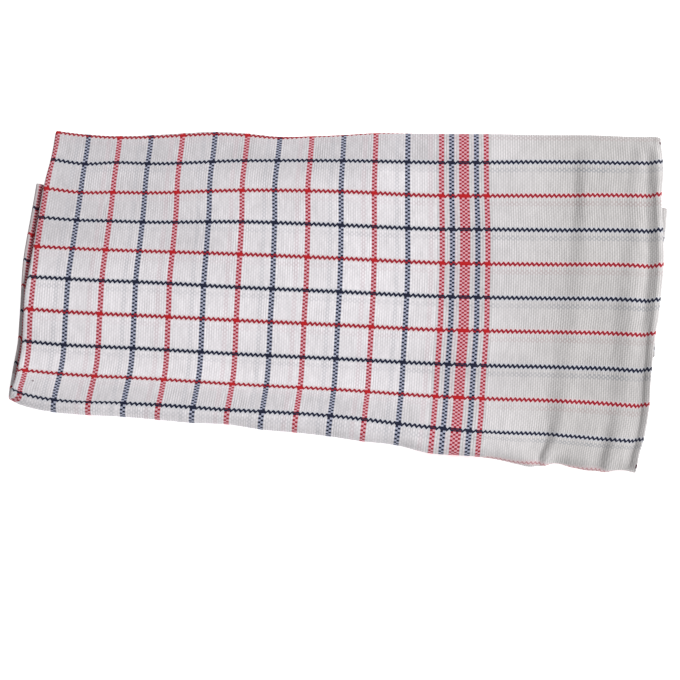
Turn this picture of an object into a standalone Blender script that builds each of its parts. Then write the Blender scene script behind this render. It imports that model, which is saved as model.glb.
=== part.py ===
"""A cotton tea towel, folded in half along its length and then in three across its width.

One cloth, so one closed solid. It lies flat on z = 0 with its long side along X.
The half fold is at -X, where the two plies of every panel join, and both hems are at +X.
Seen from above, the top panel joins the bottom panel at the far fold (+Y)
and a shorter flap at the near fold (-Y). The flap lies between the other two.
"""

import math

import bmesh
import bpy
from mathutils import Matrix, Vector

MM = 0.001

# The flat cloth, and how thick it lies
TOWEL_WIDTH = 500 * MM
PLY = 1.0 * MM
HEM_PLY = 1.25 * MM
GAP = 0.35 * MM
HEM_START = 344.5 * MM          # along the column table
HEM_STEP = 1.5 * MM             # the cloth thickens into its hem over this much
LIFT_START = 336 * MM           # the layers spread here, to clear the hems below them
LIFT_STEP = 5 * MM

# The folded panels
PANEL_DEPTH = 196 * MM          # the top panel at its deepest, from fold to fold
FLAP_SHARE = 0.79               # how much of the top panel the flap reaches under
FOLD_LENGTH = 17 * MM           # the cloth that the two folds take up
FAR_FOLD_RADIUS = 1.9 * MM
RAMP = 26 * MM                  # the flap comes down over this much off the bottom panel
SHELF = 2 * MM                  # and stays level this far past that panel's edge
FAR_SLOPE = 30 * MM             # where the top panel comes down to the far fold
ROLL_WIDTH = 30 * MM            # the puffed roll along the near fold

# Columns across the folded towel, from the half fold to the hems, in millimetres
# along: from the half fold; far, near: the two folds' Y; roll: the near roll's radius
# puff: how far the top panel stands off the flap between the wrinkles of the plain end
COLUMN_NAMES = ("along", "far", "near", "roll", "puff")
COLUMNS = (
    (0, 86.4, -76.6, 3.3, 0.0),
    (10, 85.3, -79.0, 3.6, 0.0),
    (24, 84.2, -80.4, 3.9, 0.0),
    (42, 84.4, -81.0, 4.0, 0.0),
    (60, 86.4, -81.4, 4.0, 0.0),
    (78, 88.4, -82.0, 4.0, 0.0),
    (96, 89.8, -82.6, 3.9, 0.0),
    (116, 89.2, -83.2, 3.9, 0.0),
    (136, 89.0, -84.6, 3.9, 0.0),
    (156, 90.6, -86.0, 3.8, 0.0),
    (176, 92.6, -87.4, 3.8, 0.0),
    (196, 94.2, -89.4, 3.7, 0.0),
    (214, 95.0, -91.4, 3.6, 0.0),
    (232, 96.0, -94.2, 3.5, 0.2),
    (250, 96.8, -95.4, 3.4, 0.8),
    (266, 97.2, -97.0, 3.4, 1.2),
    (280, 97.8, -98.2, 3.1, 0.7),
    (291, 98.2, -95.4, 2.6, 0.1),
    (302, 98.6, -96.6, 3.2, 0.8),
    (314, 98.8, -98.0, 3.2, 1.1),
    (325, 98.8, -97.4, 2.7, 0.2),
    (336, 99.0, -96.8, 2.9, 0.7),
    (341, 99.0, -96.7, 3.0, 0.9),
    (344.5, 99.0, -96.6, 3.0, 0.9),
    (346, 98.9, -96.5, 3.0, 0.9),
    (350, 98.6, -96.2, 3.0, 0.8),
)

# Side edges of each panel, in millimetres, from the near fold to the far one
SIDE_NAMES = ("across", "left", "right")
TOP_SIDES = (
    (-98, -173.8, 158.4),
    (-80, -173.8, 162.0),
    (-50, -172.6, 166.6),
    (-20, -172.8, 169.6),
    (0, -172.6, 172.6),
    (20, -171.8, 174.8),
    (60, -169.6, 175.3),
    (99, -167.0, 176.2),
)
FLAP_SIDES = (
    (-98, -174.0, 158.4),
    (-80, -174.6, 162.0),
    (-58, -176.0, 166.0),
    (-30, -175.2, 170.0),
    (12, -176.8, 173.2),
    (39, -175.4, 176.2),
    (60, -174.6, 177.8),
)
BOTTOM_SIDES = (
    (-40, -171.5, 171.0),
    (99, -167.0, 176.2),
)

# How finely each stretch of the cloth is divided
BOTTOM_STEPS = 3
FAR_FOLD_STEPS = 6
FAR_STEPS = 4                   # the top panel beyond the flap's edge
LEVEL_STEPS = 4                 # the flap and the top panel above the bottom panel
RAMP_STEPS = 5
ROLL_STEPS = 5                  # from the foot of the ramp to the near roll
NEAR_FOLD_STEPS = 8
HALF_FOLD_STEPS = 6

COTTON_WHITE = (0.80, 0.79, 0.80, 1.0)


def clear_scene():
    for old in list(bpy.data.objects):
        bpy.data.objects.remove(old, do_unlink=True)


def smooth(share):
    """0 below 0, 1 above 1, and a soft S between them."""
    share = min(1.0, max(0.0, share))
    return share * share * (3 - 2 * share)


def divide(start, end, steps):
    """Even divisions from start up to, but not including, end."""
    return [start + (end - start) * step / steps for step in range(steps)]


def read_edge(table, across, edge):
    """A panel's edge, left or right, in metres, at a place across the towel."""
    value = SIDE_NAMES.index(edge)
    place = across / MM
    for low, high in zip(table, table[1:]):
        if place <= high[0]:
            break
    share = (place - low[0]) / (high[0] - low[0])
    return (low[value] + share * (high[value] - low[value])) * MM


def hem_share(along):
    """0 over the cloth, 1 on the hem, which is thicker."""
    return smooth((along - HEM_START) / HEM_STEP)


def lift_share(along):
    """0 where the layers lie close, 1 where they are spread by the hems."""
    return smooth((along - LIFT_START) / LIFT_STEP)


class Section:
    """The layers across the towel at one column, as one path through the paired plies.

    The path runs from the bottom panel's free edge round the far fold, back over the
    top panel, round the near fold and in under it to the flap's free edge.
    """

    def __init__(self, column, length):
        row = dict(zip(COLUMN_NAMES, (value * MM for value in column)))
        ply = PLY + hem_share(row["along"]) * (HEM_PLY - PLY)
        self.share = row["along"] / length
        self.half_gap = (ply + GAP) / 2
        self.pair = 2 * ply + GAP
        self.pitch = 2 * (PLY + lift_share(row["along"]) * (HEM_PLY - PLY) + GAP)
        self.low = self.pair / 2
        self.roll = row["roll"]
        self.puff = row["puff"]
        self.far_radius = max(FAR_FOLD_RADIUS, self.pitch / 2)
        self.far = row["far"] - self.pair / 2 - self.far_radius
        self.near = row["near"] + self.pair / 2 + self.roll
        depth = row["far"] - row["near"]
        bottom_share = (TOWEL_WIDTH - FOLD_LENGTH) / PANEL_DEPTH - 1 - FLAP_SHARE
        self.bottom_edge = row["far"] - bottom_share * depth
        self.flap_edge = row["near"] + FLAP_SHARE * depth

    def flap_height(self, y):
        """The flap rests on the bottom panel, and past that panel's edge on the ground."""
        return self.low + self.pitch * smooth((y - self.bottom_edge + RAMP) / (RAMP - SHELF))

    def top_height(self, y):
        """The top panel follows the flap, drops to the far fold and swells to the near roll."""
        resting = self.flap_height(y) + self.pitch
        at_far = self.low + 2 * self.far_radius
        down = smooth((y - self.far + FAR_SLOPE) / FAR_SLOPE)
        swell = smooth((self.near + ROLL_WIDTH - y) / ROLL_WIDTH)
        at_near = self.low + 2 * self.roll
        middle = math.sin(math.pi * min(1.0, max(0.0, (self.far - y) / (self.far - self.near))))
        height = resting + (at_far - resting) * down + self.puff * middle * (1 - swell)
        return height + max(0.0, at_near - height) * swell

    def flap_places(self):
        """Y of the flap's divisions, from the near roll to its edge. The top panel shares them."""
        foot = self.bottom_edge - RAMP
        shelf = self.bottom_edge - SHELF
        return (
            divide(self.near, foot, ROLL_STEPS)
            + divide(foot, shelf, RAMP_STEPS)
            + divide(shelf, self.flap_edge, LEVEL_STEPS)
            + [self.flap_edge]
        )

    def path(self):
        """Points (y, z, panel sides) along the path."""
        shared = self.flap_places()
        points = [(y, self.low, BOTTOM_SIDES) for y in divide(self.bottom_edge, self.far, BOTTOM_STEPS)]
        for step in range(FAR_FOLD_STEPS):
            turn = math.pi * step / FAR_FOLD_STEPS
            y = self.far + self.far_radius * math.sin(turn)
            points.append((y, self.low + self.far_radius * (1 - math.cos(turn)), TOP_SIDES))
        for y in divide(self.far, self.flap_edge, FAR_STEPS) + shared[:0:-1]:
            points.append((y, self.top_height(y), TOP_SIDES))
        for step in range(NEAR_FOLD_STEPS):
            turn = math.pi * step / NEAR_FOLD_STEPS
            y = self.near - self.roll * math.sin(turn)
            points.append((y, self.low + self.roll * (1 + math.cos(turn)), TOP_SIDES))
        points += [(y, self.flap_height(y), FLAP_SIDES) for y in shared]
        return points

    def place(self):
        """The path's points in space, and the direction that faces out at each."""
        path = self.path()
        places = []
        outward = []
        for index, (y, z, sides) in enumerate(path):
            left = read_edge(sides, y, "left")
            right = read_edge(sides, y, "right")
            places.append(Vector((left + self.share * (right - left), y, z)))
            before = path[max(index - 1, 0)]
            after = path[min(index + 1, len(path) - 1)]
            run = Vector((0, after[0] - before[0], after[1] - before[1])).normalized()
            outward.append(Vector((0, run.z, -run.y)))
        return places, outward


def cloth_rows(sections):
    """Rows of points down the middle of one ply: outer ply, half fold, inner ply."""
    placed = [section.place() for section in sections]
    rows = []
    for section, (places, outward) in reversed(list(zip(sections, placed))):
        rows.append([p + section.half_gap * n for p, n in zip(places, outward)])
    first = sections[0]
    places, outward = placed[0]
    for step in range(1, HALF_FOLD_STEPS):
        turn = math.pi * step / HALF_FOLD_STEPS
        bulge = Vector((-first.half_gap * math.sin(turn), 0, 0))
        lean = first.half_gap * math.cos(turn)
        rows.append([p + bulge + lean * n for p, n in zip(places, outward)])
    for section, (places, outward) in zip(sections, placed):
        rows.append([p - section.half_gap * n for p, n in zip(places, outward)])
    return rows


def make_cloth(name, rows, hem_rows):
    """A sheet through the rows' points, given its thickness by a Solidify modifier."""
    mesh = bpy.data.meshes.new(name)
    bm = bmesh.new()
    grid = [[bm.verts.new(point) for point in row] for row in rows]
    for row, next_row in zip(grid, grid[1:]):
        for a, b, c, d in zip(row, row[1:], next_row[1:], next_row):
            bm.faces.new((a, b, c, d))
    bmesh.ops.recalc_face_normals(bm, faces=bm.faces)
    bm.to_mesh(mesh)
    bm.free()
    towel = bpy.data.objects.new(name, mesh)
    bpy.context.collection.objects.link(towel)

    per_row = len(rows[0])
    hem = towel.vertex_groups.new(name="hem")
    for row in hem_rows:
        first = (row % len(rows)) * per_row
        hem.add(range(first, first + per_row), 1.0, "REPLACE")
    thicken = towel.modifiers.new("thickness", "SOLIDIFY")
    thicken.thickness = HEM_PLY
    thicken.offset = 0
    thicken.vertex_group = hem.name
    thicken.thickness_vertex_group = PLY / HEM_PLY
    return towel


def centre_on_ground(towel):
    """Move the cloth so that its box stands on the ground, centred on the origin."""
    solid = towel.evaluated_get(bpy.context.evaluated_depsgraph_get())
    low, high = Vector(solid.bound_box[0]), Vector(solid.bound_box[6])
    centre = (low + high) / 2
    towel.data.transform(Matrix.Translation((-centre.x, -centre.y, -low.z)))


def finish_surface(towel):
    """White cotton, shaded smooth."""
    material = bpy.data.materials.new("cotton")
    material.use_nodes = True
    shader = material.node_tree.nodes["Principled BSDF"]
    shader.inputs["Base Color"].default_value = COTTON_WHITE
    shader.inputs["Roughness"].default_value = 0.9
    shader.inputs["Metallic"].default_value = 0.0
    towel.data.materials.append(material)
    towel.data.shade_smooth()


def main():
    clear_scene()
    length = COLUMNS[-1][0] * MM
    sections = [Section(column, length) for column in COLUMNS]
    hem_columns = sum(1 for column in COLUMNS if hem_share(column[0] * MM) == 1)
    hem_rows = [*range(hem_columns), *range(-hem_columns, 0)]
    towel = make_cloth("towel", cloth_rows(sections), hem_rows)
    centre_on_ground(towel)
    finish_surface(towel)


main()
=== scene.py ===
"""A cotton tea towel, folded in half along its length and then in three across its width.

The towel is one sheet. Its points are laid out by counting threads: the weft count runs from
the middle of the cloth to a hem, the warp count from the line on the far fold towards the near
one. The tables give the folded towel in millimetres, with X along it and Y across it, as it
appears on a level plane VIEW_PLANE high to an eye that looks down at VIEW_ELEVATION.
"""

import math

import bpy
import numpy as np
from mathutils import Matrix, Vector


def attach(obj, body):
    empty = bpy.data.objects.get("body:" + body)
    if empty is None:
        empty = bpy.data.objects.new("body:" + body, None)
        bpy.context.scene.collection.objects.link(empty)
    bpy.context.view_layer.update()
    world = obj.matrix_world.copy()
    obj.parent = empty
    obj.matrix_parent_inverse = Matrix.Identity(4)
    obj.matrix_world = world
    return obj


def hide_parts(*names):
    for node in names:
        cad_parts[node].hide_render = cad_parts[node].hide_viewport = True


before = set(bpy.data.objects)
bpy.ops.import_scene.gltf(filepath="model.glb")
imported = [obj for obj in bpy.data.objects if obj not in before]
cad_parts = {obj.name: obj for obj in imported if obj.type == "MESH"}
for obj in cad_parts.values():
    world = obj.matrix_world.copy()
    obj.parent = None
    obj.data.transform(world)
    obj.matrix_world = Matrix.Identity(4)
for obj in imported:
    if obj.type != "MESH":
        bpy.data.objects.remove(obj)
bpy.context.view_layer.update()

MM = 0.001

# ---------------------------------------------------------------- the view and the light
VIEW_ELEVATION = 70.0           # degrees
VIEW_AZIMUTH = 2.727
VIEW_DISTANCE = 0.8322          # metres
VIEW_TARGET = (-0.0008, -0.0322, 0.008)
VIEW_LENS = 81.2                # millimetres
SENSOR_WIDTH = 36.0
CLIP_START = 0.01
KEY_PLACE = (2.8, 0.38, 2.8)    # metres: to the right and a little behind, turned to the origin
KEY_SIZE = 0.9
KEY_POWER = 164
SKY_STRENGTH = 0.25
FLOOR_SIZE = 6
FLOOR_GREY = 0.9
FLOOR_GLOW = 0.78               # bright enough to show no shadow
FLOOR_ROUGHNESS = 0.8

# ---------------------------------------------------------------- the cloth, in millimetres
VIEW_PLANE = 8.0
LEAN = 1 / math.tan(math.radians(VIEW_ELEVATION))      # what height adds to Y, as seen
PLY = 1.0
HEM_PLY = 1.2
GAP = 0.35                      # between plies
FOLD_INSET = 0.5                # from the half fold's outline to the end of the flat plies
FOLD_THREADS = 2.6              # weft threads round the half fold
FAR_RADIUS = 1.9
WARP_PITCH = 1.089
FLAP_SHARES = ((0, 0.788), (261, 0.770))     # the flap's share of the whole depth, by weft count
BOTTOM_SHARE = 0.674            # and the bottom panel's
RAMP = 26.0                     # the flap starts to rise this far before the bottom panel's edge
SHELF = 2.0                     # and is up this far before it
FAR_SLOPE = 30.0                # the top panel comes down to the far fold over this distance
ROLL_WIDTH = 27.0               # and swells into the near roll over this one
LOFT = 0.3                      # how far the top panel stands off the flap before its wrinkles
FAR_Y = 92.0                    # about where the two folds are
NEAR_Y = -88.0

# Thread counts
CHECK = 14                      # weft threads from stripe to stripe
LINE = 18                       # warp threads from line to line
LAST_STRIPE = 11
BORDER_START = 168
BORDER_MIDDLE = 177
BORDER_END = 186
TIGHT_START = 253               # the threads are closer together beside the hem
HEM_START = 257
HEM_END = 261
FLAP_SELVEDGE = 322.5
FLAP_EASE = 0.085               # the flap's threads are this much wider apart at its selvedge
BOTTOM_SELVEDGE = -130

# Distance of weft threads from the middle one
CHECK_WIDTH = 18.5
STRIPE_HALF = 1.42
STRIPE_X = -169.1
SHEAR = -0.014
BORDER_FROM = 222.4
BORDER_TO = 247.5
TIGHT_FROM = 337.0
HEM_FROM_MIDDLE = 345.2

# How far each weft thread strays from its even place: y, then a shift for each weft count
STRAY_COUNTS = (0, 14, 56, 98, 154, 177)
STRAY = (
    (-90, 0.0, -2.8, -2.4, -2.8, -4.1, -4.7),
    (-80, -1.6, -2.5, -2.1, -2.2, -3.2, -3.8),
    (-70, -2.2, -1.8, -0.9, -1.2, -2.6, -2.9),
    (-60, -1.3, -1.0, -0.2, -0.4, -1.8, -2.3),
    (-40, -1.1, -0.5, 0.1, 0.1, -1.1, -1.3),
    (-20, -1.9, -1.1, -0.4, 0.0, -0.4, -0.1),
    (0, -1.8, -1.5, -1.1, 0.1, 0.2, 0.2),
    (20, -1.8, -0.6, -0.6, -0.2, 0.2, 0.5),
    (40, -0.9, 0.3, -0.4, -0.6, -0.3, 0.4),
    (60, 0.3, 0.9, -1.0, -1.5, -0.7, -0.2),
    (80, 2.2, 1.5, -0.4, -0.4, -1.0, -0.4),
    (95, 2.4, 1.5, 0.0, 0.0, -1.0, -0.4),
)
FLAP_FOLD_COUNT = 4.1           # at the flap's half fold, where the middle stripe is turned under

# Outline of the top panel: (x, y) along the two folds, (y, x) along the two ends
FAR_FOLD = (
    (-168.9, 87.8), (-160, 86.9), (-150.8, 86.3), (-133, 86.2), (-114.3, 87.7),
    (-96.8, 89.7), (-79.2, 91.5), (-60.9, 91.4), (-41.4, 90.1), (-23.2, 91.2),
    (-5.6, 92.8), (13.2, 94.9), (31.4, 95.6), (51.4, 96.3), (84.4, 97.7),
    (111.2, 98.4), (141, 99.6), (155.1, 99.6), (168, 99.9), (175.4, 99.8),
    (176.6, 99.2), (177.4, 97.6),
)
NEAR_FOLD = (
    (-174.2, -74.7), (-171, -76.8), (-167, -78.2), (-159, -80), (-151.7, -80.9),
    (-114.7, -81.6), (-77.7, -83.2), (-59.6, -83.2), (-41.4, -85.1), (-23.2, -85.9),
    (-5.1, -87.2), (13, -89.1), (31.6, -90.4), (49.2, -94), (61.9, -94.5),
    (73.5, -94.7), (86.7, -96), (96, -97.8), (103.6, -99), (110.4, -97.6),
    (114.6, -95.8), (126.2, -97.4), (140.4, -98.9), (150.4, -96.8), (156.7, -97.1),
)
HALF_FOLD = (
    (-96, -174.6), (-74.7, -174.2), (-70.7, -174.9), (-64.5, -173.8), (-51.9, -173.1),
    (-29.4, -173.4), (-11.2, -174.4), (0.7, -173.7), (18.8, -172.9), (31, -172.4),
    (54, -171.3), (69.8, -169.6), (86.9, -169.0),
)
HEMS = (
    (-96.4, 158.3), (-92, 158.9), (-81.5, 162), (-61.3, 165.9), (-47.1, 166.7),
    (-21.2, 169.4), (-13, 171), (-0.6, 172.6), (11.3, 174), (20.3, 174.8),
    (41.4, 174.7), (61.1, 174.5), (74.9, 176.0), (84.3, 176.2), (98, 176.3),
)

# Outline of the flap and the bottom panel: (y, x) along their ends
FLAP_FOLD = (
    (-96, -174.6), (-72, -177.5), (-56.1, -177.2), (-37.7, -176.2), (-27.8, -176.4),
    (12.5, -178.4), (21.6, -178.0), (38.8, -177.1), (53.7, -176.5), (60, -176.3),
)
FLAP_HEMS = (
    (-96.4, 158.3), (-80, 161.2), (-40, 165), (0, 170.9), (22, 173.9), (32.4, 176.2), (45, 178.2),
    (55, 179.0),
)
BOTTOM_FOLD = ((-40, -171.5), (30, -171), (87, -168.2))
BOTTOM_HEMS = ((-40, 170.4), (30, 172.6), (97, 176.3))

# Radius of the near roll, by weft count
NEAR_ROLL = (
    (0, 3.4), (14, 3.9), (110, 4.0), (150, 3.8), (180, 3.4), (206, 3.2), (218, 2.7), (240, 3.0),
    (261, 3.0),
)

# Warp count along the top of the far fold, by weft count
FAR_COUNT = (
    (0, 1.0), (98, 1.1), (110, 1.9), (142, 2.4), (156, 3.3), (168, 3.6), (200, 3.9), (254, 4.1),
    (261, 4.1),
)

# Warp threads drawn up over the near fold in the plain end, by weft count
NEAR_GATHER = ((178, 0), (186, 2.6), (190, 4.6), (196, 4.4), (203, 3.2), (210, 3.3), (261, 3.3))

# Y of each warp line on the top panel, by weft count
LINE_COLUMNS = (0, 14, 28, 42, 84, 126, 168, 186, 217, 242, 254)
LINES = (
    (68.9, 66.9, 68.8, 68.8, 73.4, 76.1, 77.5, 78.7, 80.9, 81.5, 82.1),
    (50.8, 49.0, 49.9, 50.5, 54.7, 56.6, 56.6, 57.8, 59.8, 61.4, 61.6),
    (32.8, 32.0, 32.3, 32.5, 35.3, 35.9, 36.1, 37.2, 38.6, 39.9, 39.9),
    (15.0, 14.8, 14.8, 15.0, 15.7, 15.8, 15.7, 16.4, 17.9, 19.1, 18.8),
    (-3.2, -3.5, -3.7, -3.5, -4.1, -4.1, -4.2, -3.6, -2.4, -1.4, -1.8),
    (-22.3, -23.0, -23.2, -23.2, -23.5, -23.6, -23.8, -23.2, -22.1, -21.4, -21.6),
    (-40.9, -42.0, -42.1, -42.1, -42.8, -42.9, -43.2, -43.0, -42.1, -41.7, -42.0),
    (-57.9, -59.0, -59.5, -59.5, -60.5, -60.9, -62.0, -62.0, -61.4, -61.7, -62.2),
    (-70.1, -73.5, -74.5, -73.5, -74.4, -75.3, -79.4, -80.7, -80.5, -81.7, -82.0),
)
LEAST_COUNT = 0.5               # warp threads at least from the last line to the near fold

# Below, a slope is (where it starts, width, height), and a ridge is (middle, width, height).
# These are slopes by weft count: the lines turn up at the hem, the hem is thicker than the rest,
# and it lifts the layers above it from some threads before
HEM_KICK = (TIGHT_START + 1, 6, 1.2)
HEM_THICKENS = (HEM_START, 1.5, 1)
HEM_LIFTS = (HEM_START - 6, 5, 1)

# Two rises across the plain end, low on their left: y, x of the middle, height, width, dip before
RISES = (
    (
        (-99, 105.5, 1.5, 5.0, 0.9),
        (-91, 109.5, 1.7, 5.0, 1.0),
        (-83, 113.4, 1.4, 6.5, 0.6),
        (-65, 116.7, 1.3, 9.5, 0.2),
        (-46, 117.5, 1.2, 10.5, 0.1),
        (-25, 120.6, 1.0, 13, 0),
        (-5, 123.2, 1.0, 13, 0),
        (15, 125.9, 0.9, 12, 0),
        (35, 128.0, 1.1, 9.0, 0),
        (55, 129.2, 1.3, 7.0, 0),
        (75, 129.7, 1.2, 7.5, 0),
        (92, 130.8, 0.4, 9.0, 0),
    ),
    (
        (-97, 140.5, 1.3, 5.0, 0.8),
        (-83, 144.3, 1.2, 6.0, 0.4),
        (-65, 147.6, 0.6, 8, 0.1),
        (-46, 149.2, 1.2, 11, 0),
        (-25, 150.6, 1.4, 11, 0),
        (-5, 152.2, 1.4, 11, 0),
        (15, 154.0, 1.0, 10, 0),
        (35, 157.0, 0.9, 9.0, 0),
        (55, 157.4, 0.7, 7.0, 0),
        (75, 158.4, 0.7, 7.0, 0),
        (92, 163.9, 1.2, 9.0, 0),
    ),
)
RISE_SCALE = 1.4
RISE_FALL = 0.5                 # share of its height that a rise loses again behind it
FALL_WIDTH = 9
DIP_BEFORE = 1.5                # from the rise's foot to its dip
DIP_WIDTH = 3.5

# The step up to the hem, (y, x), and its forms by distance from it: a ridge and two slopes
HEM_STEP = (
    (-97, 155.0), (-83, 160.3), (-65, 163.2), (-46, 164.6), (-25, 166.0), (-5, 167.4), (15, 169.8),
    (35, 170.2), (60, 170.4), (97, 170.8),
)
HEM_TROUGH = (-3.5, 2, -0.35)
HEM_UP = (-2.25, 4.5, 1.25)
HEM_DOWN = (2, 3.5, -1.15)

# Other forms of the top panel
END_SLOPE = (106, 56, 1.3)      # slope by x: the plain end stands higher
FAR_ROLL = (-8, 7, 1.7)         # ridges beside the far fold, by distance from it
FAR_TROUGH = (-17, 6, -0.25)
FAR_ROLL_LEFT = (-75, 30, 1)    # slopes by x, where the roll and its trough set in and end
FAR_ROLL_RIGHT = (95, -30, 1)
LOWEST = -0.25
FAR_FADE = 14                   # wrinkles fade out towards the far fold over this distance
RIPPLE_HEIGHT = 0.2
RIPPLE_LENGTHS = (24, 80)
RIPPLE_SCALE = 1.6
RIPPLES = 9
RIPPLE_SEED = 5

# Columns and rows of points
OUTER_STEP = 2                  # weft threads from column to column on the outer ply
INNER_STEP = 4
CLOSE_START = HEM_START - 8     # columns are closest between here and the hem's end
CLOSE_COLUMNS = 36
BOTTOM_STEPS = 7
FAR_FOLD_STEPS = 10
TOP_STEPS = 84
NEAR_FOLD_STEPS = 16
FLAP_STEPS = 40
HALF_FOLD_STEPS = 8


def smooth(share):
    """0 below 0, 1 above 1, and a soft S between them."""
    share = np.clip(share, 0, 1)
    return share * share * (3 - 2 * share)


def hill(distance, width):
    return np.exp(-((distance / width) ** 2))


def slope(distance, form):
    start, width, height = form
    return height * smooth((distance - start) / width)


def ridge(distance, form):
    middle, width, height = form
    return height * hill(distance - middle, width)


def through(table, places):
    """A smooth curve through a table's (place, value) rows, read at any places."""
    place, value = np.array(table, float).T
    tangent = np.gradient(value, place)
    low = np.clip(np.searchsorted(place, places) - 1, 0, len(place) - 2)
    step = place[low + 1] - place[low]
    t = np.clip((places - place[low]) / step, 0, 1)
    return (
        value[low] * (1 + 2 * t) * (1 - t) ** 2
        + tangent[low] * step * t * (1 - t) ** 2
        + value[low + 1] * t * t * (3 - 2 * t)
        + tangent[low + 1] * step * t * t * (t - 1)
    )


# ---------------------------------------------------------------- threads to places
def thread_table():
    """Weft counts and their distances from the middle thread. Coloured threads are thicker."""
    counts, places = [0, 1], [0, STRIPE_HALF]
    for stripe in range(1, LAST_STRIPE + 1):
        counts += [CHECK * stripe - 1, CHECK * stripe + 1]
        places += [CHECK_WIDTH * stripe - STRIPE_HALF, CHECK_WIDTH * stripe + STRIPE_HALF]
    counts += [BORDER_START - 1, BORDER_END + 1, TIGHT_START, HEM_END]
    places += [BORDER_FROM - STRIPE_HALF, BORDER_TO + STRIPE_HALF, TIGHT_FROM, HEM_FROM_MIDDLE]
    return counts, places


THREADS = thread_table()


def thread_place(count):
    return np.interp(count, *THREADS)


def stray(count, y):
    """How far a weft thread strays to the right at y."""
    places = [row[0] for row in STRAY]
    shifts = [through(list(zip(places, column)), y) for column in list(zip(*STRAY))[1:]]
    column = np.interp(count, STRAY_COUNTS, range(len(STRAY_COUNTS)))
    return sum(shift * np.maximum(0, 1 - abs(column - k)) for k, shift in enumerate(shifts))


def even_x(count, y):
    """X of a weft thread of the checks or the border at y."""
    return STRIPE_X + SHEAR * y + thread_place(count) + stray(count, y)


def across(count, y, fold, hems):
    """X of a weft thread at y, on a panel that lies between its half fold and its hems."""
    left = through(fold, y) + FOLD_INSET
    right = through(hems, y)
    first = even_x(CHECK, y)
    last = even_x(BORDER_END, y)
    border = thread_place(BORDER_END)
    plain = (thread_place(count) - border) / (HEM_FROM_MIDDLE - border)
    x = even_x(count, y)
    x = np.where(count < CHECK, left + (first - left) * count / CHECK, x)
    return np.where(count > BORDER_END, last + (right - last) * plain, x)


def weft_stops(step):
    """Weft counts of the columns of points: stripe edges, and others between them."""
    stops = [0, 1]
    for stripe in range(1, BORDER_START // CHECK + 1):
        between = range(CHECK * stripe - CHECK + 1 + step, CHECK * stripe - 1, step)
        stops += [*between, CHECK * stripe - 1, CHECK * stripe + 1]
    stops += range(BORDER_START + 3, BORDER_END + 2, 2)
    stops += np.arange(BORDER_END + 1 + step, CLOSE_START, step / 2).tolist()
    stops += np.linspace(CLOSE_START, HEM_END, CLOSE_COLUMNS // step).tolist()
    return np.array(stops, float)


# ---------------------------------------------------------------- the folded section
def ripples(x, y):
    """Slow unevenness of the cloth, between -1 and 1."""
    random = np.random.default_rng(RIPPLE_SEED)
    total = np.zeros_like(x)
    for _ in range(RIPPLES):
        length = random.uniform(*RIPPLE_LENGTHS)
        turn = random.uniform(0, math.pi)
        phase = random.uniform(0, 2 * math.pi)
        run = x * math.cos(turn) + y * math.sin(turn)
        total += np.sin(2 * math.pi * run / length + phase)
    return total / RIPPLES ** 0.5 / RIPPLE_SCALE


def wrinkles(x, y, far):
    """How far the top panel stands off the flap, over its loft."""
    lift = RIPPLE_HEIGHT * ripples(x, y)
    for rise in RISES:
        where, *values = zip(*rise)
        middle, height, width, dip = (through(list(zip(where, value)), y) for value in values)
        away = x - middle
        lift = lift + RISE_SCALE * height * smooth(away / width + 0.5)
        lift = lift - dip * hill(away + width / 2 + DIP_BEFORE, DIP_WIDTH)
        lift = lift - RISE_FALL * height * smooth((away - width / 2) / FALL_WIDTH)
    step = x - through(HEM_STEP, y)
    lift = lift + slope(x, END_SLOPE) + ridge(step, HEM_TROUGH)
    lift = lift + slope(step, HEM_UP) + slope(step, HEM_DOWN)
    roll = slope(x, FAR_ROLL_LEFT) * slope(x, FAR_ROLL_RIGHT)
    lift = lift + roll * (ridge(y - far, FAR_ROLL) + ridge(y - far, FAR_TROUGH))
    return np.maximum(LOWEST, lift) * smooth((far - y) / FAR_FADE)


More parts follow.
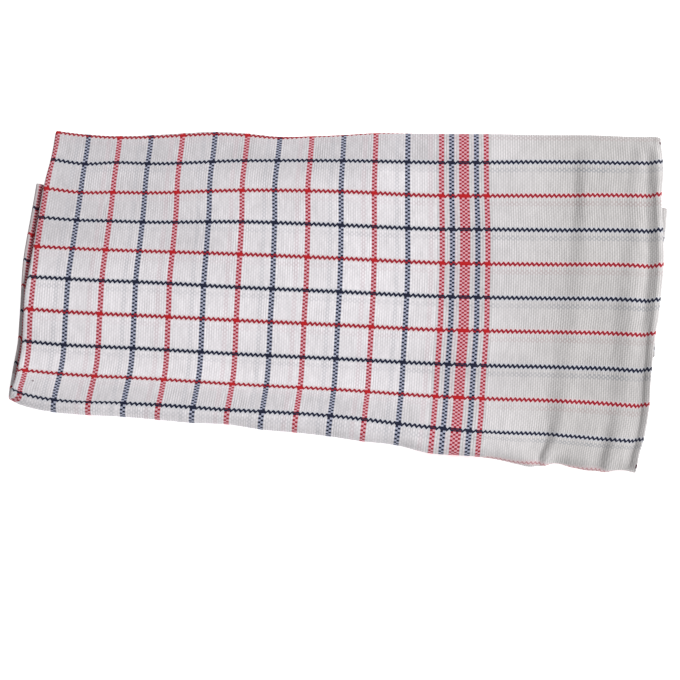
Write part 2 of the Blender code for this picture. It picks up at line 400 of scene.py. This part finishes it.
class Section:
    """The layers across the towel, for every weft count at once. Lengths are in millimetres."""

    def __init__(self, counts):
        self.counts = counts
        self.hem = slope(counts, HEM_THICKENS)
        ply = PLY + self.hem * (HEM_PLY - PLY)
        lifted_ply = PLY + slope(counts, HEM_LIFTS) * (HEM_PLY - PLY)
        self.half_gap = (ply + GAP) / 2
        self.low = ply + GAP / 2
        self.pitch = 2 * (lifted_ply + GAP)
        self.roll = through(NEAR_ROLL, counts)
        far_edge = through(FAR_FOLD, across(counts, FAR_Y, HALF_FOLD, HEMS))
        near_edge = through(NEAR_FOLD, across(counts, NEAR_Y, HALF_FOLD, HEMS))
        self.far_radius = np.maximum(FAR_RADIUS, self.pitch / 2)
        self.far_outer = self.far_radius + self.low
        self.near_outer = self.roll + self.low
        self.far = self.centre(far_edge, self.far_radius, self.far_outer, 1)
        self.near = self.centre(near_edge, self.roll, self.near_outer, -1)
        depth = self.far - self.near + self.far_outer + self.near_outer
        self.bottom_edge = self.far + self.far_outer - BOTTOM_SHARE * depth
        self.flap_edge = self.near - self.near_outer + through(FLAP_SHARES, counts) * depth

    def centre(self, edge, radius, outer, side):
        """Y of a fold's centre, from where the fold's edge is seen."""
        turn = math.radians(VIEW_ELEVATION)
        seen = outer * math.sin(turn) * side
        height = self.low + radius + outer * math.cos(turn) * side
        return edge - seen + LEAN * (VIEW_PLANE - height)

    def flap_height(self, y):
        return self.low + self.pitch * smooth((y - self.bottom_edge + RAMP) / (RAMP - SHELF))

    def top_height(self, y):
        resting = self.flap_height(y) + self.pitch + LOFT * smooth((self.far - y) / FAR_SLOPE)
        at_far = self.low + 2 * self.far_radius
        down = smooth((y - self.far + FAR_SLOPE) / FAR_SLOPE)
        swell = smooth((self.near + ROLL_WIDTH - y) / ROLL_WIDTH)
        at_near = self.low + 2 * self.roll
        height = resting + (at_far - resting) * down
        height = height + np.maximum(0, at_near - height) * swell
        x = across(self.counts, y, HALF_FOLD, HEMS)
        return height + wrinkles(x, y, self.far)

    def warp_count(self, y, height):
        """Warp count on the top panel's face, from the lines' table."""
        seen = y + LEAN * (height - VIEW_PLANE)
        kick = slope(self.counts, HEM_KICK)
        lines = [through(list(zip(LINE_COLUMNS, row)), self.counts) + kick for row in LINES]
        line_counts = [LINE * (number + 1) for number in range(len(lines))]
        result = np.empty_like(y)
        for k in range(len(self.counts)):
            places = [self.far_seen[k], *(line[k] for line in lines), self.near_seen[k]]
            numbers = [self.far_count[k], *line_counts, self.near_count[k]]
            result[k] = np.interp(-seen[k], -np.array(places), numbers)
        return result

    def path(self):
        """Rows (y, z, warp count, panel) for each step; each y, z and count is an array."""
        self.far_seen = self.far + LEAN * (self.low + 2 * self.far_radius + self.low - VIEW_PLANE)
        self.near_seen = self.near + LEAN * (self.low + 2 * self.roll + self.low - VIEW_PLANE)
        self.far_count = through(FAR_COUNT, self.counts)
        last = through(list(zip(LINE_COLUMNS, LINES[-1])), self.counts)
        beyond = np.maximum(LEAST_COUNT, (last - self.near_seen) / WARP_PITCH)
        self.near_count = LINE * len(LINES) + through(NEAR_GATHER, self.counts) + beyond
        under_far = self.far_count - math.pi * self.far_outer / WARP_PITCH
        under_near = self.near_count + math.pi * self.near_outer / WARP_PITCH
        rows = []
        for step in range(BOTTOM_STEPS):
            share = step / BOTTOM_STEPS
            y = self.bottom_edge + (self.far - self.bottom_edge) * share
            count = BOTTOM_SELVEDGE + (under_far - BOTTOM_SELVEDGE) * share
            rows.append((y, self.low + 0 * y, count, "bottom"))
        for step in range(FAR_FOLD_STEPS):
            share = step / FAR_FOLD_STEPS
            y = self.far + self.far_radius * math.sin(math.pi * share)
            z = self.low + self.far_radius * (1 - math.cos(math.pi * share))
            rows.append((y, z, under_far + (self.far_count - under_far) * share, "top"))
        for step in range(TOP_STEPS):
            y = self.far + (self.near - self.far) * step / TOP_STEPS
            z = self.top_height(y)
            rows.append((y, z, self.warp_count(y, z + self.low), "top"))
        wrinkle = wrinkles(across(self.counts, self.near, HALF_FOLD, HEMS), self.near, self.far)
        for step in range(NEAR_FOLD_STEPS):
            share = step / NEAR_FOLD_STEPS
            radius = self.roll + wrinkle * (1 + math.cos(math.pi * share)) / 2
            y = self.near - radius * math.sin(math.pi * share)
            z = self.low + self.roll + radius * math.cos(math.pi * share)
            rows.append((y, z, self.near_count + (under_near - self.near_count) * share, "turn"))
        for step in range(FLAP_STEPS + 1):
            share = step / FLAP_STEPS
            y = self.near + (self.flap_edge - self.near) * share
            eased = share * (1 + FLAP_EASE * (1 - share))
            count = under_near + (FLAP_SELVEDGE - under_near) * eased
            rows.append((y, self.flap_height(y), count, "flap"))
        return rows


def panel_x(counts, y, panel, flap_share):
    if panel == "bottom":
        return across(counts, y, BOTTOM_FOLD, BOTTOM_HEMS)
    top = across(counts, y, HALF_FOLD, HEMS)
    flap = across(counts, y, FLAP_FOLD, FLAP_HEMS)
    return top + (flap - top) * flap_share


def middle_surface(counts):
    """Points half way between the two plies, their outward directions, and warp counts."""
    section = Section(counts)
    rows = section.path()
    turn_start = next(k for k, row in enumerate(rows) if row[3] == "turn")
    flap_share = smooth((np.arange(len(rows)) - turn_start) / NEAR_FOLD_STEPS)
    points = np.zeros((len(rows), len(counts), 3))
    warp = np.zeros((len(rows), len(counts)))
    for k, (y, z, count, panel) in enumerate(rows):
        points[k, :, 0] = panel_x(counts, y, panel, flap_share[k])
        points[k, :, 1] = y
        points[k, :, 2] = z
        warp[k] = count
    run = np.gradient(points, axis=0)
    run[:, :, 0] = 0
    run /= np.linalg.norm(run, axis=2, keepdims=True)
    outward = np.stack([0 * run[:, :, 0], run[:, :, 2], -run[:, :, 1]], axis=2)
    return section, points, outward, warp, flap_share


def fold_count(points, flap_share):
    """Weft count at the half fold, where the flat plies end. The middle stripe has count 0."""
    x, y = points[:, 0, 0], points[:, 0, 1]
    share = (even_x(0, y) - x) / (even_x(CHECK, y) - x)
    count = -CHECK * share / (1 - share)
    return count + (FLAP_FOLD_COUNT - count) * flap_share


def cloth_columns():
    """Columns of (points, weft counts, warp counts, hem share): outer ply, half fold, inner ply."""
    columns = []
    outer = weft_stops(OUTER_STEP)
    section, points, outward, warp, flap_share = middle_surface(outer)
    at_fold = fold_count(points, flap_share)
    for k in reversed(range(len(outer))):
        weft = np.where(outer[k] < CHECK, at_fold + outer[k] * (CHECK - at_fold) / CHECK, outer[k])
        place = points[:, k] + section.half_gap[k] * outward[:, k]
        columns.append((place, weft, warp[:, k], section.hem[k]))
    for step in range(1, HALF_FOLD_STEPS):
        turn = math.pi * step / HALF_FOLD_STEPS
        place = points[:, 0] + section.half_gap[0] * math.cos(turn) * outward[:, 0]
        place[:, 0] -= section.half_gap[0] * math.sin(turn)
        columns.append((place, at_fold - FOLD_THREADS * step / HALF_FOLD_STEPS, warp[:, 0], 0.0))
    inner = weft_stops(INNER_STEP)
    section, points, outward, warp, flap_share = middle_surface(inner)
    turned = at_fold - FOLD_THREADS
    for k in range(len(inner)):
        weft = turned - inner[k] * (HEM_END + turned) / HEM_END
        place = points[:, k] - section.half_gap[k] * outward[:, k]
        columns.append((place, weft, warp[:, k], section.hem[k]))
    return columns


def select_nothing():
    for thing in bpy.context.selected_objects:
        thing.select_set(False)


def make_cloth():
    """The towel: a grid of points, one column for each stop; thicken() then gives it its thickness
    by Solidify.
    """
    columns = cloth_columns()
    tall = len(columns[0][0])
    points = np.concatenate([column[0] for column in columns]) * MM
    faces = [
        (c * tall + r, (c + 1) * tall + r, (c + 1) * tall + r + 1, c * tall + r + 1)
        for c in range(len(columns) - 1)
        for r in range(tall - 1)
    ]
    mesh = bpy.data.meshes.new("towel_cloth")
    mesh.from_pydata([tuple(p) for p in points], [], faces)
    threads = mesh.uv_layers.new(name="threads")
    weft = np.concatenate([column[1] for column in columns])
    warp = np.concatenate([column[2] for column in columns])
    corner = np.empty(len(mesh.loops), dtype=np.int32)
    mesh.loops.foreach_get("vertex_index", corner)
    threads.data.foreach_set("uv", np.stack([weft[corner], warp[corner]], axis=1).ravel())
    cloth = bpy.data.objects.new("towel_cloth", mesh)
    bpy.context.collection.objects.link(cloth)
    hem = cloth.vertex_groups.new(name="hem")
    for c, column in enumerate(columns):
        if column[3] > 0:
            hem.add(range(c * tall, (c + 1) * tall), float(column[3]), "REPLACE")
    return cloth


def thicken(cloth):
    select_nothing()
    bpy.context.view_layer.objects.active = cloth
    cloth.select_set(True)
    bpy.ops.object.mode_set(mode="EDIT")
    bpy.ops.mesh.select_all(action="SELECT")
    bpy.ops.mesh.normals_make_consistent(inside=False)
    bpy.ops.object.mode_set(mode="OBJECT")
    ply = cloth.modifiers.new("ply", "SOLIDIFY")
    ply.thickness = HEM_PLY * MM
    ply.offset = 0
    ply.vertex_group = "hem"
    ply.thickness_vertex_group = PLY / HEM_PLY
    bpy.ops.object.modifier_apply(modifier=ply.name)
    bpy.ops.object.shade_smooth()


# ---------------------------------------------------------------- materials
class Shade:
    """A shader socket that arithmetic can be written on."""

    def __init__(self, tree, socket):
        self.tree, self.socket = tree, socket

    def node(self, kind, settings, inputs, output=0):
        """Any other node: its type, its settings, then values or links for its sockets."""
        made = self.tree.nodes.new(kind)
        for name, value in settings.items():
            setattr(made, name, value)
        for name, value in inputs.items():
            if isinstance(value, Shade):
                self.tree.links.new(value.socket, made.inputs[name])
            else:
                made.inputs[name].default_value = value
        return Shade(self.tree, made.outputs[output])

    def maths(self, operation, *others):
        inputs = dict(enumerate((self, *others)))
        return self.node("ShaderNodeMath", {"operation": operation}, inputs)

    def __add__(self, other):
        return self.maths("ADD", other)

    def __mul__(self, other):
        return self.maths("MULTIPLY", other)

    def __sub__(self, other):
        return self.maths("SUBTRACT", other)

    def __rsub__(self, other):
        return self.node("ShaderNodeMath", {"operation": "SUBTRACT"}, {0: other, 1: self})

    def __truediv__(self, other):
        return self.maths("DIVIDE", other)

    def __lt__(self, other):
        return self.maths("LESS_THAN", other)

    def __gt__(self, other):
        return self.maths("GREATER_THAN", other)

    def __abs__(self):
        return self.maths("ABSOLUTE")

    __radd__ = __add__
    __rmul__ = __mul__

    def floor(self):
        return self.maths("FLOOR")

    def fraction(self):
        return self.maths("FRACT")

    def cosine(self):
        return self.maths("COSINE")

    def nearest(self):
        return self.maths("ROUND")

    def larger(self, other):
        return self.maths("MAXIMUM", other)

    def odd(self):
        """1 where a whole number is odd."""
        return (self * 0.5).fraction() > 0.25

    def near(self, middle, reach):
        """1 within this reach of a number, and 0 beyond it."""
        return abs(self - middle) < reach

    def ramp(self, start, end):
        """From 0 at one number to 1 at another, straight between them and level beyond."""
        return ((self - start) / (end - start)).larger(0).maths("MINIMUM", 1)

    def span(self, start, end):
        """From one number to another as this goes from 0 to 1."""
        return start + (end - start) * self

    def rounded(self):
        """1 along the middle of each thread that this counts, and 0 between threads."""
        return 1 - (self.fraction() * 2 - 1).maths("POWER", 2)

    def blend(self, start, end):
        """From one colour to another as this goes from 0 to 1."""
        return self.node("ShaderNodeMix", {"data_type": "RGBA"}, {0: self, 6: start, 7: end}, 2)

    def scaled(self, factor):
        """This colour, darker or lighter."""
        return self.node("ShaderNodeVectorMath", {"operation": "SCALE"}, {0: self, "Scale": factor})

    def noise(self, other, stretch, scale, detail):
        """Cloudy noise around 0 over two counts, the second one stretched."""
        place = self.node("ShaderNodeCombineXYZ", {}, {0: self, 1: other / stretch})
        inputs = {"Vector": place, "Scale": scale, "Detail": detail}
        return self.node("ShaderNodeTexNoise", {"noise_dimensions": "2D"}, inputs) - 0.5


WHITE = (0.832, 0.800, 0.830, 1.0)
PLAIN_GREY_AND_SHADE = (0.583, 0.563, 0.560, 1.0)     # in the plain end: a greyer white, darkened further by painted shade for the light's fall-off towards the hem
RED = (0.350, 0.013, 0.026, 1.0)
BRIGHT_RED = (0.500, 0.009, 0.014, 1.0)      # red over red
CROSSED_RED = (0.120, 0.013, 0.030, 1.0)     # red beside navy
NAVY = (0.0095, 0.0130, 0.0370, 1.0)
WHITE_BY_RED = (0.760, 0.390, 0.450, 1.0)    # white warp over a stripe
WHITE_BY_NAVY = (0.430, 0.450, 0.570, 1.0)
WHITE_OVER_RED = (0.740, 0.600, 0.620, 1.0)  # white weft over a line
WHITE_OVER_NAVY = (0.590, 0.600, 0.650, 1.0)
DARK_END = (0.100, 0.045, 0.060, 1.0)
# Painted shade on the flap's half fold, pink with painted reflected light from the red stripe
FLAP_FOLD_PAINTED_SHADE = (0.400, 0.320, 0.320, 1.0)
GHOST_RED = (0.640, 0.500, 0.540, 1.0)       # the lower ply's threads, showing through
GHOST_NAVY = (0.490, 0.490, 0.530, 1.0)
# The ghosts in the plain end, darkened like its white by painted shade
PLAIN_GHOST_RED = (0.450, 0.350, 0.350, 1.0)
PLAIN_GHOST_NAVY = (0.330, 0.340, 0.370, 1.0)

SPECULAR = 0.25
SHEEN = 0.1
ROUGHNESS = 0.88
THREAD_ROUGHNESS = 0.2          # how much it varies from thread to thread
DYED_SMOOTHER = 0.06
WEAVE_BUMP = 0.3
WEAVE_DEPTH = 0.3 * MM

# The white cloth. A noise is (stretch along the thread, scale, detail)
PLAIN_RAMP = (150, 224)         # weft counts from the checks' white to the plain end's greyer white with its painted shade
RIB_PAINTED_SHADE = (0.08, 0.16)              # depth of the painted shade in the grooves between weft threads, in the checks and in the plain end
RIB_PATCH = 0.3                 # how much that painted shade varies from patch to patch
WARP_DARKER = 0.06
THREAD_TONE = 0.28
CLOUD_TONE = 0.16
THREAD_NOISE = (26, 3.7, 2)
CLOUD_NOISE = (1.2, 0.035, 3)
PATCH_NOISE = (1.5, 0.09, 2)

# Painted soft shade towards the far fold: (how much darker, weft counts, warp counts). It sets in
# from the first count of each pair to the second
FAR_SHADES = (
    (0.16, (94, 68), (88, 66)),
    (0.20, (174, 160), (24, 18)),
    (0.20, (146, 134), (42, 18)),
    (0.08, (136, 116), (88, 48)),
)
NEAR_SHADE = (0.11, 0.18)       # painted shade towards the near fold: at the half fold, and away from it
NEAR_SHADE_DEEPENS = (20, 50)   # weft counts
NEAR_SHADE_WEFTS = (170, 158)
NEAR_SHADE_WARPS = (142, 152)
NEAR_LIGHT = (0.95, 0.45)       # share of that painted shade that is taken off again on the fold itself
NEAR_LIGHT_FADES = (40, 100)
NEAR_LIGHT_WARPS = (160, 165)
BORDER_SHADE = 0.12             # greyer white between the border's stripes
BORDER_SHADE_REACH = 11
FLAP_START = 190                # warp count from which the flap's half fold gets painted shade
FLAP_FOLD_WEFTS = (3, 2)        # where the painted shade on the flap's half fold is deepest: its middle and reach
FLAP_FOLD_SHARE = 0.6

# The lower ply showing through
UNDER_WEFT = 4.5                # how far its threads lie from the upper ply's
UNDER_WARP = 4.3
GHOST_DOTS = (0.12, 0.40)       # a stripe's strength under weft and under warp threads
GHOST_LINE = (0.22, 0.55)       # a line's, in the checks and in the plain end
GHOST_LINE_LEAST = 0.05
GHOST_LINE_PATCH = 2.4
GHOST_LINE_RED = 0.7            # red lines show less than navy ones
GHOST_REACH = 1.3

# Dyed threads: how far they reach to each side of their middle, in threads
STRIPE_REACH = 1
STRIPES_END = LAST_STRIPE * CHECK + 2
BORDER_BAND_REACH = 2           # the border's red band, and its narrow stripes by their middle
BORDER_NAVY = 5
BORDER_RED = 9
LINE_REACH = 1
STEP_REACH = 1.35
TINT_REACH = 1.8
TINT = (0.4, 1.0)               # tint of the white threads beside a line and across it
SWING = 0.64                    # how far a warp line steps to each side
STROKE = 0.92                   # half its thickness
STROKE_DROP = 0.25              # every other step is thinner
TURNED_LINE = (180, 3)          # this line lies along the near fold in the plain end
TURNED_THINNER = 0.4
TURNED_PALER = 0.45

# Dark spots: (middle, reach)
CAUGHT_LINES = ((6, 0.8), (176, 0.5))        # by warp count, in the hem
CAUGHT_FROM = HEM_END - 0.9
DIRT_WEFT = (4, 0.5)
DIRT_WARP = (151, 0.6)
DIRT_SHARE = 0.6


def new_material(name, roughness, sheen=0.0):
    material = bpy.data.materials.new(name)
    material.use_nodes = True
    tree = material.node_tree
    shader = tree.nodes["Principled BSDF"]
    shader.inputs["Roughness"].default_value = roughness
    shader.inputs["Specular IOR Level"].default_value = SPECULAR
    shader.inputs["Sheen Weight"].default_value = sheen
    return material, tree, shader


def stripe_masks(weft):
    """Red and navy weft threads: the checks' stripes and the border's."""
    side = abs(weft)
    stripe = (side / CHECK).nearest()
    drawn = (abs(side - stripe * CHECK) < STRIPE_REACH) * (side < STRIPES_END)
    from_middle = abs(side - BORDER_MIDDLE)
    red_border = (from_middle < BORDER_BAND_REACH) + from_middle.near(BORDER_RED, STRIPE_REACH)
    navy_border = from_middle.near(BORDER_NAVY, STRIPE_REACH)
    return drawn * (1 - stripe.odd()) + red_border, drawn * stripe.odd() + navy_border


def line_place(warp):
    """Distance from the nearest warp line, and whether that line is navy."""
    line = (warp / LINE).nearest()
    return warp - line * LINE, line.odd()


def painted_shade_and_border_grey(weft, warp):
    """How much darker the white cloth is: painted shade towards the two folds, and greyer white in
    the border.
    """
    far, *others = [
        darker * weft.ramp(*wefts) * warp.ramp(*warps) for darker, wefts, warps in FAR_SHADES
    ]
    for shade in others:
        far = far.larger(shade)
    light = weft.ramp(*NEAR_LIGHT_FADES).span(*NEAR_LIGHT) * warp.ramp(*NEAR_LIGHT_WARPS)
    near = weft.ramp(*NEAR_SHADE_WEFTS) * warp.ramp(*NEAR_SHADE_WARPS) * (1 - light)
    near = near * weft.ramp(*NEAR_SHADE_DEEPENS).span(*NEAR_SHADE)
    return far + near + BORDER_SHADE * weft.near(BORDER_MIDDLE, BORDER_SHADE_REACH)


def white_cloth(weft, warp, warp_on_top, thread):
    """Undyed cloth: painted shade in the grooves between threads, uneven threads, painted soft
    shade towards the folds, the plain end's greyer white with painted shade, and the lower ply
    showing through.
    """
    plain = abs(weft).ramp(*PLAIN_RAMP)
    rib_shade = (weft * (2 * math.pi)).cosine()
    cloud = weft.noise(warp, *CLOUD_NOISE)
    patch = weft.noise(warp, *PATCH_NOISE)
    # Ribs: painted shade in the grooves between the weft threads
    tone = 1 - (plain.span(*RIB_PAINTED_SHADE) + RIB_PATCH * patch) * rib_shade - WARP_DARKER * warp_on_top
    # Less the painted shade towards the two folds and the border's greyer white
    tone = tone + THREAD_TONE * thread + CLOUD_TONE * cloud - painted_shade_and_border_grey(weft, warp)
    # Towards the hem the white turns greyer and takes painted shade for the light's fall-off
    white = plain.blend(WHITE, PLAIN_GREY_AND_SHADE).scaled(tone)
    # Painted shade on the flap's half fold, pink with painted reflected light from the red stripe
    flap_fold_shade = (warp > FLAP_START) * weft.near(*FLAP_FOLD_WEFTS)
    white = (FLAP_FOLD_SHARE * flap_fold_shade).blend(white, FLAP_FOLD_PAINTED_SHADE)

    red_under, navy_under = stripe_masks(weft + UNDER_WEFT)
    dots = warp_on_top.span(*GHOST_DOTS)
    white = (red_under * dots).blend(white, GHOST_RED)
    white = (navy_under * dots).blend(white, GHOST_NAVY)
    place, navy = line_place(warp - UNDER_WARP)
    dashes = plain.span(*GHOST_LINE) * warp_on_top * (1 + GHOST_LINE_PATCH * patch)
    line = (abs(place) < GHOST_REACH) * (GHOST_LINE_LEAST + dashes)
    red_ghost = plain.blend(GHOST_RED, PLAIN_GHOST_RED)
    navy_ghost = plain.blend(GHOST_NAVY, PLAIN_GHOST_NAVY)
    white = (line * (1 - navy) * GHOST_LINE_RED).blend(white, red_ghost)
    return (line * navy).blend(white, navy_ghost)


def dyed_threads(white, weft, warp, warp_on_top):
    """Weft stripes and stepped warp lines over the white cloth, and a mask of the lines."""
    red_weft, navy_weft = stripe_masks(weft)
    stripe = red_weft + navy_weft
    place, navy_line = line_place(warp)
    turned = (weft > BORDER_END) * warp.near(*TURNED_LINE)
    pair = ((weft - 0.5) / 2).fraction()
    swing = SWING * (abs(pair * 2 - 1) * 2 - 1)
    stroke = (STROKE - STROKE_DROP * (pair > 0.5)) * (1 - TURNED_THINNER * turned)
    stepped = ((abs(place + swing) - stroke) < 0) * (abs(place) < STEP_REACH)
    in_line = abs(place) < LINE_REACH
    shown = stripe * in_line * warp_on_top + (1 - stripe) * stepped

    tinted = (abs(place) < TINT_REACH) * in_line.span(*TINT)
    colour = tinted.blend(white, navy_line.blend(WHITE_OVER_RED, WHITE_OVER_NAVY))
    colour = red_weft.blend(colour, warp_on_top.blend(RED, WHITE_BY_RED))
    colour = navy_weft.blend(colour, warp_on_top.blend(NAVY, WHITE_BY_NAVY))
    colour = (shown * (1 - TURNED_PALER * turned)).blend(colour, navy_line.blend(RED, NAVY))
    crossing = red_weft * in_line
    colour = (crossing * (1 - navy_line)).blend(colour, BRIGHT_RED)
    colour = (crossing * navy_line * (1 - warp_on_top)).blend(colour, CROSSED_RED)
    return colour, shown


def dark_spots(weft, warp):
    """The ends of two red lines that are caught in the hem, and a speck of dirt."""
    caught = (weft > CAUGHT_FROM) * sum(warp.near(*line) for line in CAUGHT_LINES)
    return caught + DIRT_SHARE * weft.near(*DIRT_WEFT) * warp.near(*DIRT_WARP)


def cotton():
    """Plain weave: at each crossing the weft or the warp thread is on top, turn and turn about."""
    material, tree, shader = new_material("cotton", ROUGHNESS, SHEEN)
    counts = Shade(tree, None).node("ShaderNodeUVMap", {"uv_map": "threads"}, {})
    weft = counts.node("ShaderNodeSeparateXYZ", {}, {0: counts})
    warp = Shade(tree, weft.socket.node.outputs[1])
    warp_on_top = (weft.floor() + warp.floor()).odd()
    thread = weft.floor().noise(warp, *THREAD_NOISE)
    white = white_cloth(weft, warp, warp_on_top, thread)
    colour, shown = dyed_threads(white, weft, warp, warp_on_top)
    colour = dark_spots(weft, warp).blend(colour, DARK_END)
    tree.links.new(colour.socket, shader.inputs["Base Color"])

    relief = warp_on_top * warp.rounded() + (1 - warp_on_top) * weft.rounded()
    bump = {"Strength": WEAVE_BUMP, "Distance": WEAVE_DEPTH, "Height": relief}
    tree.links.new(relief.node("ShaderNodeBump", {}, bump).socket, shader.inputs["Normal"])
    roughness = ROUGHNESS + THREAD_ROUGHNESS * thread - DYED_SMOOTHER * shown
    tree.links.new(roughness.socket, shader.inputs["Roughness"])
    return material


def make_floor():
    select_nothing()
    bpy.ops.mesh.primitive_plane_add(size=FLOOR_SIZE, location=(0, 0, 0))
    floor = bpy.context.object
    floor.name = "floor"
    material, _, shader = new_material("pale_table", FLOOR_ROUGHNESS)
    shader.inputs["Base Color"].default_value = (FLOOR_GREY, FLOOR_GREY, FLOOR_GREY, 1.0)
    shader.inputs["Emission Color"].default_value = (1, 1, 1, 1)
    shader.inputs["Emission Strength"].default_value = FLOOR_GLOW
    floor.data.materials.append(material)


def make_key_light():
    light = bpy.data.lights.new("window", "AREA")
    light.shape = "DISK"
    light.size = KEY_SIZE
    light.energy = KEY_POWER
    holder = bpy.data.objects.new("window", light)
    bpy.context.collection.objects.link(holder)
    holder.location = KEY_PLACE
    holder.rotation_mode = "QUATERNION"
    holder.rotation_quaternion = (-Vector(KEY_PLACE)).to_track_quat("-Z", "Y")


def make_world():
    world = bpy.data.worlds.new("studio")
    world.use_nodes = True
    background = world.node_tree.nodes["Background"]
    background.inputs["Color"].default_value = (1, 1, 1, 1)
    background.inputs["Strength"].default_value = SKY_STRENGTH
    bpy.context.scene.world = world


def make_camera():
    tilt, turn = math.radians(VIEW_ELEVATION), math.radians(VIEW_AZIMUTH)
    level = math.cos(tilt)
    forward = Vector((-level * math.sin(turn), level * math.cos(turn), -math.sin(tilt)))
    right = Vector((math.cos(turn), math.sin(turn), 0))
    up = right.cross(forward)
    camera = bpy.data.objects.new("camera", bpy.data.cameras.new("camera"))
    bpy.context.collection.objects.link(camera)
    place = Matrix((right, up, -forward)).transposed().to_4x4()
    place.translation = Vector(VIEW_TARGET) - forward * VIEW_DISTANCE
    camera.matrix_world = place
    camera.data.lens = VIEW_LENS
    camera.data.sensor_width = SENSOR_WIDTH
    camera.data.clip_start = CLIP_START
    bpy.context.scene.camera = camera


make_camera()
bpy.context.scene.view_settings.view_transform = "Standard"
towel = make_cloth()
thicken(towel)
towel.data.materials.append(cotton())
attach(towel, "root")
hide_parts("towel")
make_floor()
make_key_light()
make_world()
